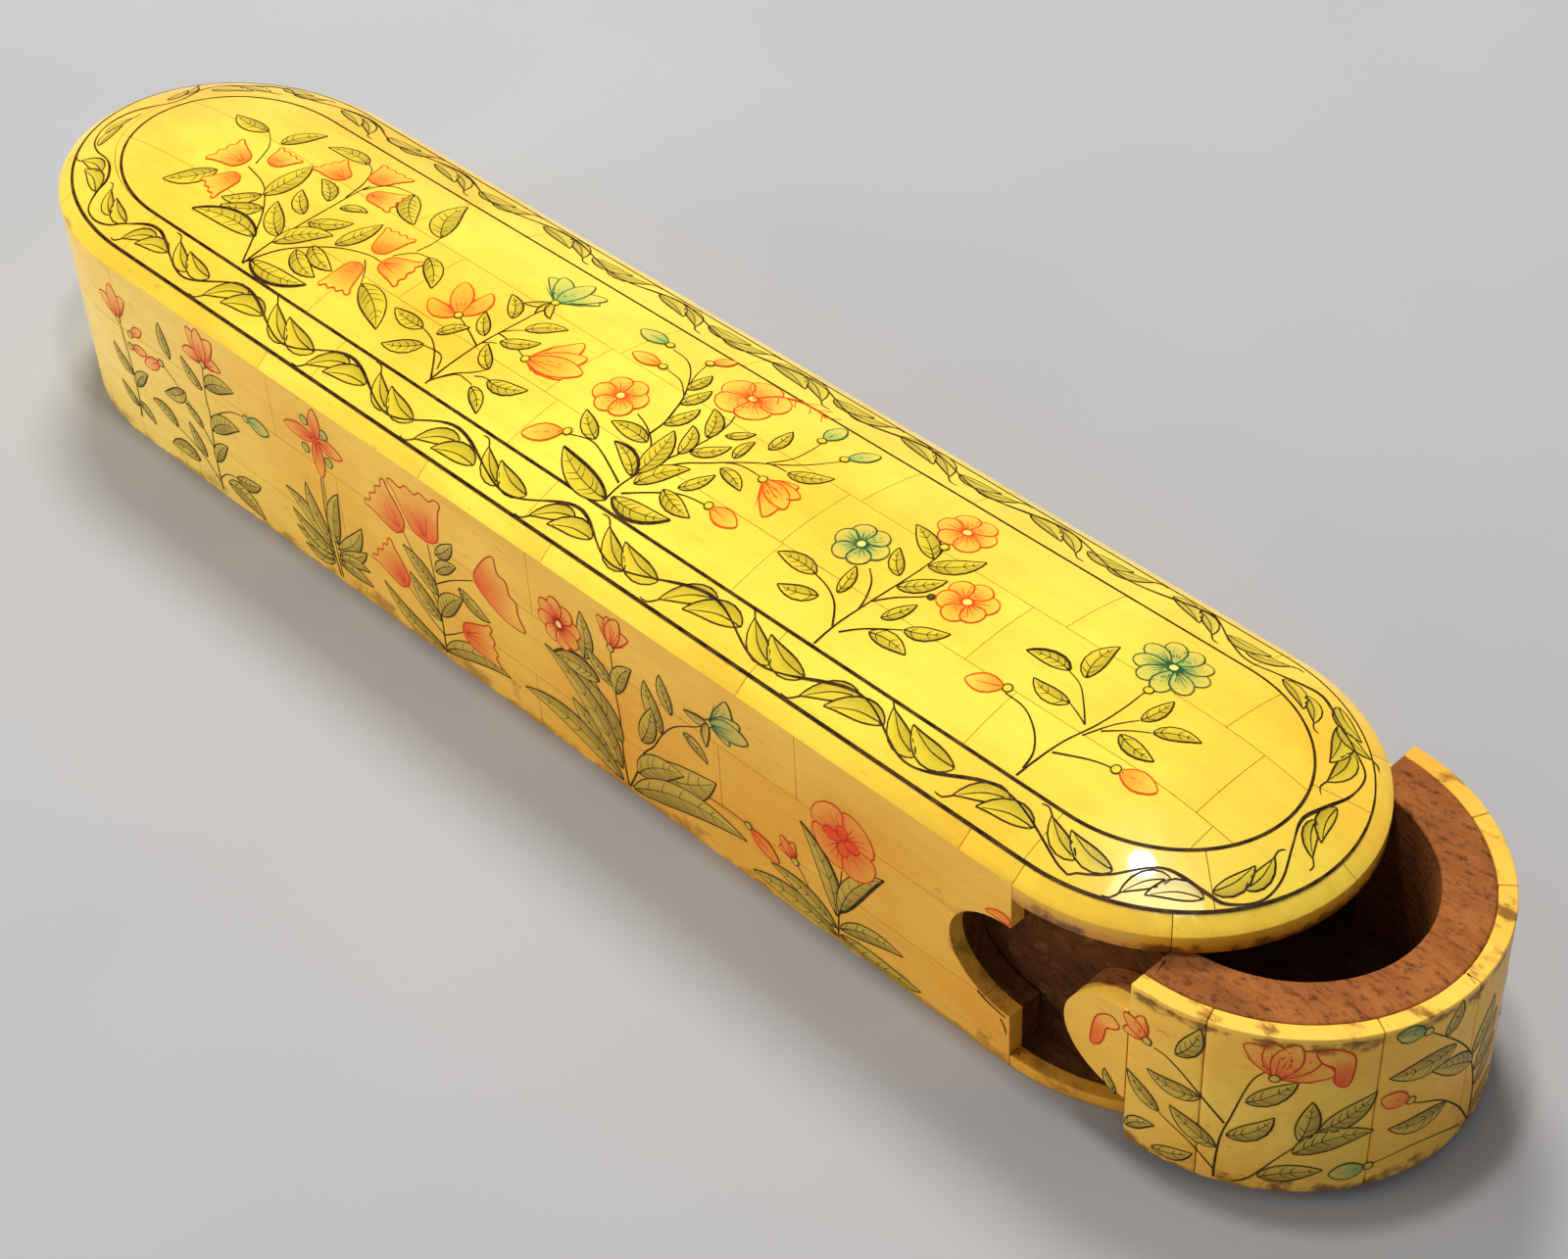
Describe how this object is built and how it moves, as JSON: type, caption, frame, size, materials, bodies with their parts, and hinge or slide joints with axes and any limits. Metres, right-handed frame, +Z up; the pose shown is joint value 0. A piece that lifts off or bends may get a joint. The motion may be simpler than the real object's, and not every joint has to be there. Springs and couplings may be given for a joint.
{
  "type": "sliding pen box",
  "caption": "Long slim pen box of wood faced with painted bone plates, with a domed overhanging lid board and a round-fronted drawer that slides out lengthwise.",
  "frame": {"origin": "on the table, under the middle of the box as it stands with its drawer 17.3 mm out", "axes": "+X along the box, the way the drawer pulls out; +Y across it; +Z up"},
  "size_m": [0.2478, 0.05, 0.0376],
  "materials": {
    "lid_bone": "gloss",
    "bone": "gloss",
    "case_wood": "matte",
    "drawer_wood": "matte"
  },
  "bodies": {
    "case": {"bottom_board": "case_wood", "near_wall": "case_wood", "far_wall": "case_wood", "back_block": "case_wood", "lid_board": "case_wood", "bottom_edge_band": "bone", "near_side_plates": "bone", "far_side_plates": "bone", "back_end_plates": "bone", "lid_edge_band": "lid_bone", "lid_border_plates": "lid_bone", "lid_field_plates": "lid_bone"},
    "drawer": {"drawer_front_block": "drawer_wood", "near_tab": "drawer_wood", "far_tab": "drawer_wood", "drawer_near_side": "drawer_wood", "drawer_far_side": "drawer_wood", "drawer_back": "drawer_wood", "drawer_floor": "drawer_wood", "drawer_front_plates": "bone", "near_tab_plate": "bone", "far_tab_plate": "bone"}
  },
  "joints": [
    {"name": "drawer_slide", "type": "slide", "parent": "case", "child": "drawer", "axis": [1, 0, 0], "range_m": [-0.0172, 0.172]}
  ]
}
